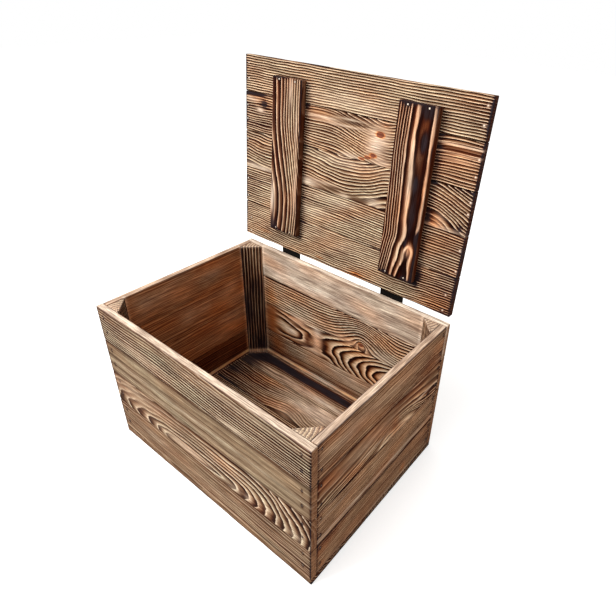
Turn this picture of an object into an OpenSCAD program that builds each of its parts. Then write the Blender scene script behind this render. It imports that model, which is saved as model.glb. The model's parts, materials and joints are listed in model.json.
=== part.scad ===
// Kindling box: a lidded wooden box of nailed, torched pine boards.
// X runs right along the front, Y runs to the back, Z is up. The origin is the
// middle of the underside. The lid is drawn standing open, as it rests.

/* [Stock] */
// Width of the stock board: one wall course, one floor board, one lid board
board_w = 73; // [60:0.5:95]
// Thickness of the stock board
board_t = 13.5; // [12:0.5:18]
// Radius that the brushing leaves on the long edges of a board
edge_r = 2; // [0.5:0.25:4]
// Gap between two boards laid edge to edge
seam = 0.25; // [0.1:0.05:1]

/* [Box] */
// Length of the box along the front
box_w = 500; // [400:5:700]
// Leg of the triangular corner posts, seen from above
post_leg = 33; // [26:1:45]
// How far the top of a post lies under the rim
post_drop = 0.5; // [0.25:0.25:5]

/* [Lid] */
// Width of the board at the lid's front, which was ripped to fit
lid_rip_w = 64.5; // [40:0.5:73]
// Angle that the lid has opened when the hinges stop it
lid_open = 94.5; // [60:0.5:100]
// Gap between the rim and the shut lid
lid_rest_gap = 0.3; // [0.2:0.1:1]
// Distance of the lid's rear edge in front of the box's back face
lid_rear_gap = 0.5; // [0.4:0.1:2]
// Width of the two battens inside the lid
batten_w = 71; // [50:1:73]
// Length of the battens, front to back
batten_l = 290; // [200:5:300]
// Distance of the battens from the lid's rear edge
batten_back = 41; // [30:1:50]
// Middle of each batten along X
batten_x = [-130.5, 139.5];

/* [Hinges] */
// Middle of each hinge along X
hinge_x = [-129.5, 125];
// Length of a hinge along its pin
hinge_w = 50; // [35:1:60]
// Length of a leaf, from the pin to its free end
leaf_l = 38; // [34:1:42]
// Thickness of a leaf
leaf_t = 1; // [0.8:0.1:1.2]
// Radius of the hinge pin
pin_r = 1; // [0.8:0.05:1.25]

/* [Nails and screws] */
// Radius of a brad's shank
brad_r = 0.8; // [0.6:0.05:1]
// Radius of a brad's head
brad_head_r = 1.5; // [1.2:0.1:2]
// Length of the brads in the walls and the floor
brad_l = 30; // [25:1:40]
// Length of the brads that go through the lid into a batten
lid_brad_l = 24; // [18:1:26]
// Radius of a hinge screw's head
screw_head_r = 2.8; // [2.4:0.1:3.2]
// Length of a hinge screw
screw_l = 11; // [8:1:12]

/* [Hidden] */
courses = 4;
floor_boards = 5;
full_lid_boards = 4;
box_d = floor_boards * board_w + (floor_boards - 1) * seam;
pitch = board_w + seam;
box_h = board_t + courses * pitch - seam;
side_l = box_d - 2 * board_t;
post_h = box_h - board_t - post_drop;
in_x = box_w / 2 - board_t;
in_y = box_d / 2 - board_t;

// Hinge: the knuckles lie outside the corner, tangent to both wood faces
pin_gap = 0.05;
bore_r = pin_r + pin_gap;
knuckle_r = bore_r + leaf_t;
knuckles = 5;
knuckle_l = hinge_w / knuckles;
knuckle_gap = 0.3;
// Gap between a plate's edge and the other leaf's knuckles, which only the
// tongues of its own knuckles cross, running this far into the plate
leaf_notch = 0.4;
tongue_lap = 1;
pin_head_l = 0.7;
pin_head_r = knuckle_r * 0.85;
hole_r = 1.6;
screw_r = 1.4;
screw_head_h = 1.2;
screw_head_top_r = screw_head_r * 0.6;
// Where the screws sit: along the pin on both sides of the middle, and how far
// from the pin the outer two and the middle one lie
screw_x = 17;
screw_at = [24.5, 31.5];
axis_y = box_d / 2 + knuckle_r;
axis_z = box_h + lid_rest_gap + board_t + knuckle_r;

// Lid, in its shut pose: rear edge and underside
lid_y = box_d / 2 - lid_rear_gap;
lid_z = box_h + lid_rest_gap;

// Places of the brads: heights up a course, and distances in from a corner
front_brads = [24, 56];
side_brads = [20, 60];
front_brad_in = 17;
side_brad_in = 21.5;
floor_brads = [18, 55];
batten_brads = [[50, 64], [18, 55], [18, 55], [18, 55], [12, 30]];
lid_brad_side = 9.5;
batten_brad_side = 19;
batten_end_brad = 4.5;
head_t = 0.8;
// Brads along both ends of the lid boards, driven by eye: places across each
// board from the rear, and distance in from the lid's end
end_brads = [[8, 38], [12, 49], [37, 56], [22, 48], [23, 50]];
end_brad_in = [14, 5, 4, 4.5, 8];
end_brad_l = 12;

// How far a cutting shape runs past the faces that it cuts
past = 1;
// Facets of a full circle: pins and knuckles, rounded edges and screws, nails
pin_fn = 48;
edge_fn = 32;
nail_fn = 16;

wood = [0.60, 0.47, 0.34];
wood_warm = [0.50, 0.36, 0.25];
wood_charred = [0.20, 0.12, 0.08];
black_steel = [0.07, 0.07, 0.07];
bright_steel = [0.62, 0.60, 0.56];

function names(stem, count) = [for (i = [1:count]) str(stem, i)];
ENDS = ["left", "right"];
POSTS = ["post_front_left", "post_front_right", "post_back_left", "post_back_right"];

// Section of a board, with its four long edges rounded
module board_section(w, t) {
    translate([edge_r, 0])
        square([w - 2 * edge_r, t]);
    translate([0, edge_r])
        square([w, t - 2 * edge_r]);
    for (x = [edge_r, w - edge_r], y = [edge_r, t - edge_r])
        translate([x, y])
            circle(r = edge_r, $fn = edge_fn);
}

// Board lying along X, centred on X; its width runs along +Y, thickness up +Z
module board_x(l, w, t) {
    translate([-l / 2, 0, 0])
        rotate([90, 0, 90])
            linear_extrude(l)
                board_section(w, t);
}

// Wall board standing on its edge along X, its outer face at y = 0
module wall_board(l) {
    rotate([90, 0, 0])
        mirror([0, 0, 1])
            board_x(l, board_w, board_t);
}

function course_z(i) = board_t + (i - 1) * pitch;

module front_board(i) {
    color(wood)
        translate([0, -box_d / 2, course_z(i)])
            wall_board(box_w);
}

module back_board(i) {
    color(wood)
        translate([0, in_y, course_z(i)])
            wall_board(box_w);
}

module left_board(i) {
    color(wood_warm)
        translate([-box_w / 2, 0, course_z(i)])
            rotate([0, 0, -90])
                wall_board(side_l);
}

module right_board(i) {
    color(wood_warm)
        translate([box_w / 2, 0, course_z(i)])
            rotate([0, 0, 90])
                wall_board(side_l);
}

module floor_board(i) {
    color(wood_charred)
        translate([0, -box_d / 2 + (i - 1) * pitch, 0])
            board_x(box_w, board_w, board_t);
}

// Triangular corner post: its two legs lie against the walls
module post(sx, sy) {
    color(wood_charred)
        translate([sx * in_x, sy * in_y, board_t])
            linear_extrude(post_h)
                polygon([[0, 0], [-sx * post_leg, 0], [0, -sy * post_leg]]);
}

// Puts a shape that is drawn shut into the pose of the open lid
module open_pose() {
    translate([0, axis_y, axis_z])
        rotate([-lid_open, 0, 0])
            translate([0, -axis_y, -axis_z])
                children();
}

function lid_board_w(i) = i > full_lid_boards ? lid_rip_w : board_w;

// Lid boards are counted from the rear edge
module lid_board(i) {
    color(wood)
        open_pose()
            translate([0, lid_y - (i - 1) * pitch - lid_board_w(i), lid_z])
                board_x(box_w, lid_board_w(i), board_t);
}

module batten(x) {
    color(wood_charred)
        open_pose()
            translate([x, lid_y - batten_back - batten_l / 2, lid_z - board_t])
                rotate([0, 0, 90])
                    translate([0, -batten_w / 2, 0])
                        board_x(batten_l, batten_w, board_t);
}

// Brad with its head flush at the origin, driven along -Z
module brad(l) {
    translate([0, 0, -head_t])
        cylinder(h = head_t, r = brad_head_r, $fn = nail_fn);
    translate([0, 0, -l])
        cylinder(h = l, r = brad_r, $fn = nail_fn);
}

module wall_brads() {
    color(bright_steel)
        for (i = [1:courses], sx = [-1, 1], sy = [-1, 1]) {
            for (h = front_brads)
                translate([sx * (box_w / 2 - front_brad_in), sy * box_d / 2, course_z(i) + h])
                    rotate([-90 * sy, 0, 0])
                        brad(brad_l);
            for (h = side_brads)
                translate([sx * box_w / 2, sy * (box_d / 2 - side_brad_in), course_z(i) + h])
                    rotate([0, 90 * sx, 0])
                        brad(brad_l);
        }
}

module floor_brads() {
    color(bright_steel)
        for (i = [1:floor_boards], sx = [-1, 1], across = floor_brads)
            translate([sx * (box_w - board_t) / 2, -box_d / 2 + (i - 1) * pitch + across, 0])
                rotate([180, 0, 0])
                    brad(brad_l);
}

// Brads through the lid into the battens, and those along the lid's two ends
module lid_brads() {
    color(bright_steel)
        open_pose()
            for (i = [1:full_lid_boards + 1]) {
                for (x = batten_x, side = [-1, 1], across = batten_brads[i - 1])
                    translate([x + side * lid_brad_side,
                               lid_y - (i - 1) * pitch - across, lid_z + board_t])
                        brad(lid_brad_l);
                for (sx = [-1, 1], across = end_brads[i - 1])
                    translate([sx * (box_w / 2 - end_brad_in[i - 1]),
                               lid_y - (i - 1) * pitch - across, lid_z])
                        rotate([180, 0, 0])
                            brad(end_brad_l);
            }
}

// Two brads at each end of each batten, driven from inside
module batten_brads() {
    color(bright_steel)
        open_pose()
            for (x = batten_x, side = [-1, 1], along = [batten_end_brad, batten_l - batten_end_brad])
                translate([x + side * batten_brad_side,
                           lid_y - batten_back - along, lid_z - board_t])
                    rotate([180, 0, 0])
                        brad(lid_brad_l);
}

// Whether knuckle k (0 to 4) belongs to the wall leaf
function on_wall(k) = k % 2 == 0;

// A leaf with its pin axis on X at the origin. The plate hangs down -Z and its
// wood side faces -Y; wall says which knuckles it has
module leaf(wall) {
    difference() {
        union() {
            translate([-hinge_w / 2, -knuckle_r, -leaf_l])
                cube([hinge_w, leaf_t, leaf_l - knuckle_r - leaf_notch]);
            for (k = [0:knuckles - 1])
                if (on_wall(k) == wall)
                    translate([-hinge_w / 2 + k * knuckle_l + knuckle_gap / 2, 0, 0])
                        knuckle(knuckle_l - knuckle_gap);
        }
        rotate([0, 90, 0])
            cylinder(h = hinge_w + 2 * past, r = bore_r, center = true, $fn = pin_fn);
        leaf_holes();
    }
}

// One knuckle and the tongue that joins it to the plate
module knuckle(l) {
    rotate([0, 90, 0])
        cylinder(h = l, r = knuckle_r, $fn = pin_fn);
    tongue_h = knuckle_r + leaf_notch + tongue_lap;
    translate([0, -knuckle_r, -tongue_h])
        cube([l, leaf_t, tongue_h]);
}

// Two outer holes and one further from the pin
module at_screws() {
    for (place = [[-screw_x, screw_at[0]], [0, screw_at[1]], [screw_x, screw_at[0]]])
        translate([place[0], -knuckle_r + leaf_t, -place[1]])
            rotate([-90, 0, 0])
                children();
}

module leaf_holes() {
    at_screws()
        translate([0, 0, -leaf_t - past])
            cylinder(h = leaf_t + 2 * past, r = hole_r, $fn = edge_fn);
}

// Pan-headed screw: the head sits on the plate, the shank goes into the wood
module leaf_screws() {
    at_screws() {
        cylinder(h = screw_head_h, r1 = screw_head_r, r2 = screw_head_top_r, $fn = edge_fn);
        translate([0, 0, -screw_l])
            cylinder(h = screw_l, r = screw_r, $fn = edge_fn);
    }
}

module at_wall_leaf(x) {
    translate([x, axis_y, axis_z])
        children();
}

// The lid leaf lies on the lid's top face when the lid is shut
module at_lid_leaf(x) {
    open_pose()
        translate([x, axis_y, axis_z])
            rotate([-90, 0, 0])
                mirror([0, 1, 0])
                    children();
}

module hinge_wall_leaf(x) {
    color(black_steel)
        at_wall_leaf(x)
            leaf(true);
}

module hinge_lid_leaf(x) {
    color(black_steel)
        at_lid_leaf(x)
            leaf(false);
}

// Pin with a small head at both ends
module hinge_pin(x) {
    color(black_steel)
        at_wall_leaf(x)
            rotate([0, 90, 0]) {
                cylinder(h = hinge_w + 2 * pin_head_l, r = pin_r, center = true, $fn = pin_fn);
                for (side = [-1, 1])
                    translate([0, 0, side * (hinge_w + pin_head_l) / 2])
                        cylinder(h = pin_head_l, r = pin_head_r, center = true, $fn = pin_fn);
            }
}

module hinge_wall_screws() {
    color(black_steel)
        for (x = hinge_x)
            at_wall_leaf(x)
                leaf_screws();
}

module hinge_lid_screws() {
    color(black_steel)
        for (x = hinge_x)
            at_lid_leaf(x)
                leaf_screws();
}

for (i = [1:courses]) {
    front_board(i);
    back_board(i);
    left_board(i);
    right_board(i);
}
for (i = [1:floor_boards])
    floor_board(i);
for (i = [1:full_lid_boards + 1])
    lid_board(i);
post(-1, -1);  // post_front_left
post(1, -1);  // post_front_right
post(-1, 1);  // post_back_left
post(1, 1);  // post_back_right
wall_brads();
floor_brads();
batten(batten_x[0]);  // batten_left
batten(batten_x[1]);  // batten_right
lid_brads();
batten_brads();
for (k = [0, 1]) {
    hinge_wall_leaf(hinge_x[k]);
    hinge_lid_leaf(hinge_x[k]);
    hinge_pin(hinge_x[k]);
}
hinge_wall_screws();
hinge_lid_screws();
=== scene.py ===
# %% [markdown]
# # A kindling box of torched and brushed pine
# The box stands by a wood stove. It is nailed together from one kind of board: four courses of
# wall boards, a floor of five, a lid of five with two battens, and four black corner posts. The
# maker went over the wood with a gas torch and a wire brush, so the growth lines stand out dark
# with a pale line beside them. Almost everything that makes this object look real is that grain,
# so most of this lesson is about one idea: every board is cut from an imagined tree.
#
# The fixed frame comes first. It holds the exact solids, in metres, and every piece made below
# goes where its solid is.

# %% Load the fixed frame
import json
import math

import bpy
import numpy as np
from mathutils import Matrix, Vector


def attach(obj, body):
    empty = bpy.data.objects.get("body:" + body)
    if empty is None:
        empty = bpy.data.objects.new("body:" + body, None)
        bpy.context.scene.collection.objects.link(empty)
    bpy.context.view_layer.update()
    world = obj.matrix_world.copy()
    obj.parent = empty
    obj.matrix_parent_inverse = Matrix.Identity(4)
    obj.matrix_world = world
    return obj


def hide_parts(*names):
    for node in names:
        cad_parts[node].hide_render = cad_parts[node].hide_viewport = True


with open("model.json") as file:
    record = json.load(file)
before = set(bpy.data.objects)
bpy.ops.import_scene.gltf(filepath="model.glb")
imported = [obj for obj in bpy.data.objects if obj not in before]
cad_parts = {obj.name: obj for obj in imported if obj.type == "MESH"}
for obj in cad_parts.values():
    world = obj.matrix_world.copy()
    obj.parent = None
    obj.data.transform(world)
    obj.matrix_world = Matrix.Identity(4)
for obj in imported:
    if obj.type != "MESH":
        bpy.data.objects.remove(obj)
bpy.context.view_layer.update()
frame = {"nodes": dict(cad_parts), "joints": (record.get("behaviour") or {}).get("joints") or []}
MM = 0.001

# %% [markdown]
# ## The camera
# The view was found from the straight edges of the box and the lid: the camera stands to the
# front right, looks down by about 32 degrees and leans by 3. The object sits off the middle of
# its lens, which is what the two small shifts say.

# %% Camera
CAMERA_AT = (0.5357, -0.5082, 0.8137)
TURN, TILT, LEAN = math.radians(36.226), math.radians(31.792), math.radians(2.851)
SENSOR, FOCAL, SHIFT_X, SHIFT_Y = 36.0, 29.66, -0.0683, -0.0282


def in_scene(name, data):
    """A new object with this data, linked into the scene."""
    made = bpy.data.objects.new(name, data)
    bpy.context.scene.collection.objects.link(made)
    return made


lens = bpy.data.cameras.new("camera")
lens.sensor_width, lens.lens = SENSOR, FOCAL
lens.shift_x, lens.shift_y = SHIFT_X, SHIFT_Y
camera = in_scene("camera", lens)
camera.matrix_world = (
    Matrix.Translation(CAMERA_AT)
    @ Matrix.Rotation(TURN, 4, "Z")
    @ Matrix.Rotation(math.pi / 2 - TILT, 4, "X")
    @ Matrix.Rotation(LEAN, 4, "Z")
)
bpy.context.scene.camera = camera
print("camera at", CAMERA_AT)

# %% [markdown]
# ## Nodes in few words
# The surrounding, the floor and every finish are built from nodes. With these helpers a node is one
# line. A value handed to them is a number, a colour or the output of another node.

# %% Small helpers for node trees


def feed(tree, socket, value):
    """Puts a number, a colour or another node's output into an input."""
    if isinstance(value, bpy.types.NodeSocket):
        tree.links.new(value, socket)
    elif socket.type == "RGBA":
        socket.default_value = value + (1.0,)
    else:
        socket.default_value = value


def node(tree, kind, *inputs, **settings):
    """A node of one kind and what goes into its first inputs, in their order. A setting is one of
    its properties or, by socket name, another input."""
    made = tree.nodes.new("ShaderNode" + kind)
    for name, value in settings.items():
        if hasattr(made, name):
            setattr(made, name, value)
        else:
            feed(tree, made.inputs[name], value)
    for socket, value in zip(made.inputs, inputs):
        feed(tree, socket, value)
    return made


def sums(tree, operation, *values, clamp=False):
    """One arithmetic node."""
    return node(tree, "Math", *values, operation=operation, use_clamp=clamp).outputs[0]


def swing(tree, noise, amount):
    """Noise about 0 instead of about a half, times amount."""
    return sums(tree, "MULTIPLY", sums(tree, "SUBTRACT", noise, 0.5), amount)


def spread(tree, value, *limits):
    """Moves value from one range to another and keeps it there. The four limits are the low and
    the high end of the first range, then of the second."""
    return node(tree, "MapRange", value, *limits).outputs[0]


def blend(tree, amount, a, b, way="MIX"):
    """Mixes colours a and b by amount. Of the node's inputs, 6 and 7 are the ones for colours."""
    made = node(tree, "Mix", amount, data_type="RGBA", blend_type=way, clamp_factor=True)
    feed(tree, made.inputs[6], a)
    feed(tree, made.inputs[7], b)
    return made.outputs[2]


def times(tree, colour, factor):
    """The colour multiplied by a number or by another colour."""
    return blend(tree, 1.0, colour, factor, "MULTIPLY")


print("helpers for node trees")

# %% [markdown]
# ## Studio
# A pale floor, one large soft lamp from the upper left and front, and an even white surrounding.
# Only what the camera sees of the surrounding and the floor is pure white: the light that falls
# on the wood stays at a plain level, so a colour renders about as it is written.

# %% Floor, surrounding and lamps
WORLD_LEVEL = 0.62
WARM_WHITE = (1.0, 0.985, 0.96)
FLOOR_WHITE = (0.82, 0.82, 0.82)
FLOOR_LIFT = 0.55
FLOOR_REACH = 6.0


def bare_tree(owner):
    """The emptied node tree of a new material or world."""
    owner.use_nodes = True
    owner.node_tree.nodes.clear()
    return owner.node_tree


def studio_world(level):
    """White where the camera or a mirror looks, and `level` of white as light on the object."""
    world = bpy.data.worlds.new("studio")
    tree = bare_tree(world)
    ray = node(tree, "LightPath").outputs
    seen = sums(tree, "MAXIMUM", ray["Is Camera Ray"], ray["Is Transmission Ray"])
    shown = sums(tree, "MAXIMUM", seen, ray["Is Glossy Ray"])
    glow = node(tree, "Background", WARM_WHITE, level)
    white = node(tree, "Background", (1.0, 1.0, 1.0))
    mixed = node(tree, "MixShader", shown, glow.outputs[0], white.outputs[0])
    node(tree, "OutputWorld", mixed.outputs[0])
    bpy.context.scene.world = world


def floor_finish():
    """Matt white that still takes the object's shadow: some white is added for the camera."""
    finish = bpy.data.materials.new("pale_floor")
    tree = bare_tree(finish)
    matt = node(tree, "BsdfDiffuse", FLOOR_WHITE)
    lift = sums(tree, "MULTIPLY", node(tree, "LightPath").outputs["Is Camera Ray"], FLOOR_LIFT)
    glow = node(tree, "Emission", Strength=lift)
    both = node(tree, "AddShader", matt.outputs[0], glow.outputs[0])
    node(tree, "OutputMaterial", both.outputs[0])
    return finish


def lamp(name, place, aim, size, power):
    """A square area lamp of `size` metres at `place`, turned to look at `aim`."""
    light = bpy.data.lights.new(name, "AREA")
    light.size, light.energy = size, power
    holder = in_scene(name, light)
    holder.location = place
    holder.rotation_mode = "QUATERNION"
    holder.rotation_quaternion = (Vector(aim) - holder.location).to_track_quat("-Z", "Y")


studio_world(WORLD_LEVEL)
ground = bpy.data.meshes.new("floor")
corners = [(x * FLOOR_REACH, y * FLOOR_REACH, 0) for x, y in ((-1, -1), (1, -1), (1, 1), (-1, 1))]
ground.from_pydata(corners, [], [(0, 1, 2, 3)])
ground.materials.append(floor_finish())
floor = in_scene("floor", ground)
lamp("key", (-1.3, -1.9, 2.3), (0, 0, 0.2), 1.4, 84)
lamp("top", (-0.3, -0.9, 2.9), (0, 0.1, 0.2), 1.3, 34)
print("floor, surrounding and two lamps")

# %% [markdown]
# ## A tree for every board
# A log is a stack of cones round a pith that wanders a little. Sawing a board out of it cuts those
# cones: where the pith runs along the board the lines are parallel, where it dives away from the
# face they close into flames, and a branch pushes them aside. So the pattern isn't drawn on the
# face. It is a count of rings in space, worked out from the distance to the pith, and the faces,
# the edges and the end grain of a board all read the same count. That keeps the grain right where
# two faces meet, which a picture wrapped round the board never does.
#
# Along a board runs s, up its width w, and into its thickness d, all in millimetres.

# %% Ring count in space


def route(stops, s):
    """A smooth curve through hand-set (place, value) stops: on each stretch, the cubic whose slope
    at both ends is the slope of the stops around it. Beyond the last stop the value stays."""
    place, value = np.array(stops, float).T
    if len(place) == 1:
        return np.full(np.shape(s), value[0])
    slope = np.gradient(value, place)
    k = np.clip(np.searchsorted(place, s) - 1, 0, len(place) - 2)
    gap = place[k + 1] - place[k]
    t = np.clip((s - place[k]) / gap, 0, 1)
    rise = 3 * t**2 - 2 * t**3
    lead = (t**3 - 2 * t**2 + t) * gap * slope[k]
    trail = (t**3 - t**2) * gap * slope[k + 1]
    return value[k] * (1 - rise) + value[k + 1] * rise + lead + trail


def drift(s, w, seed, reach_s, reach_w):
    """Slow irregular swell between -1 and 1: the mean of five sine waves of seeded directions."""
    rng = np.random.default_rng(seed)
    total = 0
    for _ in range(5):
        a, b = rng.uniform(0.5, 1.6, 2) * rng.choice([-1, 1], 2)
        total = total + np.sin(2 * np.pi * (a * s / reach_s + b * w / reach_w) + rng.uniform(0, 6.28))
    return total / 2.6


def fade(distance, reach, power=1):
    """1 at no distance, then e to minus the power of distance / reach."""
    return np.exp(-((distance / reach) ** power))


def spot(s, w, patch, power=1):
    """Soft ellipse: e to minus the squared distance, counted in the patch's half sizes and raised
    to `power`. A high power gives it a sharp outline."""
    at_s, at_w, half_s, half_w = patch[:4]
    return fade(((s - at_s) / half_s) ** 2 + ((w - at_w) / half_w) ** 2, 1, power)


def painted(s, w, patches):
    """The soft ellipses of all patches together, each times its own amount."""
    return sum(patch[4] * spot(s, w, patch) for patch in patches)


def ring_count(s, w, d, tree):
    """How many rings lie between the pith and a point. The distance to the pith is the root of
    the squares of (w - pith) and (d + depth); branches, a slow drift and a short ripple push it,
    and `growth` turns the distance into rings. Good and bad years then shift the count a little,
    always less than a ring, so the lines keep their order but not their spacing."""
    far = np.hypot(w - route(tree["pith"], s), d + route(tree["depth"], s))
    far = far + painted(s, w, tree["knots"])
    seed = tree["seed"]
    far = far + tree["waver"] * drift(s, w + 2 * d, seed, 210, 160)
    far = far + tree["ripple"] * drift(s, w + 2 * d, seed + 7, 64, 46)
    count = route(tree["growth"], far)
    uneven = 0.28 * np.sin(1.7 * count + seed) + 0.2 * np.sin(0.63 * count + 2 * seed)
    return count + (1 - tree["regular"]) * uneven


PLAIN = {
    "knots": (), "waver": 1.2, "ripple": 0.5, "regular": 0.0, "contrast": 1.0, "burn": 0.2, "warm": 0.0,
    "chars": (), "pales": (), "warms": (), "calms": (), "eyes": (),
}


def tree_of(seed, pith, depth, ring=6.0, growth=None, **finish):
    """One board's tree and finish, where a plain board's values fill what isn't given. Knots and
    patches are (s, w, half length, half width, amount)."""
    growth = growth or [(-50, -50 / ring), (300, 300 / ring)]
    return {**PLAIN, "seed": seed, "pith": pith, "depth": depth, "growth": growth, **finish}


def any_tree(seed, **finish):
    """A tree for a board that the photograph doesn't show: the pith's route is seeded."""
    rng = np.random.default_rng(seed)
    start, end = rng.uniform(-30, 100, 2)
    bends = rng.uniform(-8, 8, 2)
    dip = rng.uniform(6, 60, 4)
    places = (0, 160, 330, 500)
    pith = (start, start + (end - start) / 3 + bends[0], start + (end - start) * 2 / 3 + bends[1], end)
    knot = (rng.uniform(60, 440), rng.uniform(10, 62), rng.uniform(18, 34), rng.uniform(9, 15),
            rng.uniform(-16, 16))
    return tree_of(seed, list(zip(places, pith)), list(zip(places, dip)), ring=rng.uniform(3.4, 6.5),
                   knots=[knot], **finish)


print("trees: a pith route, a depth, ring widths and branches for each board")
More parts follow.
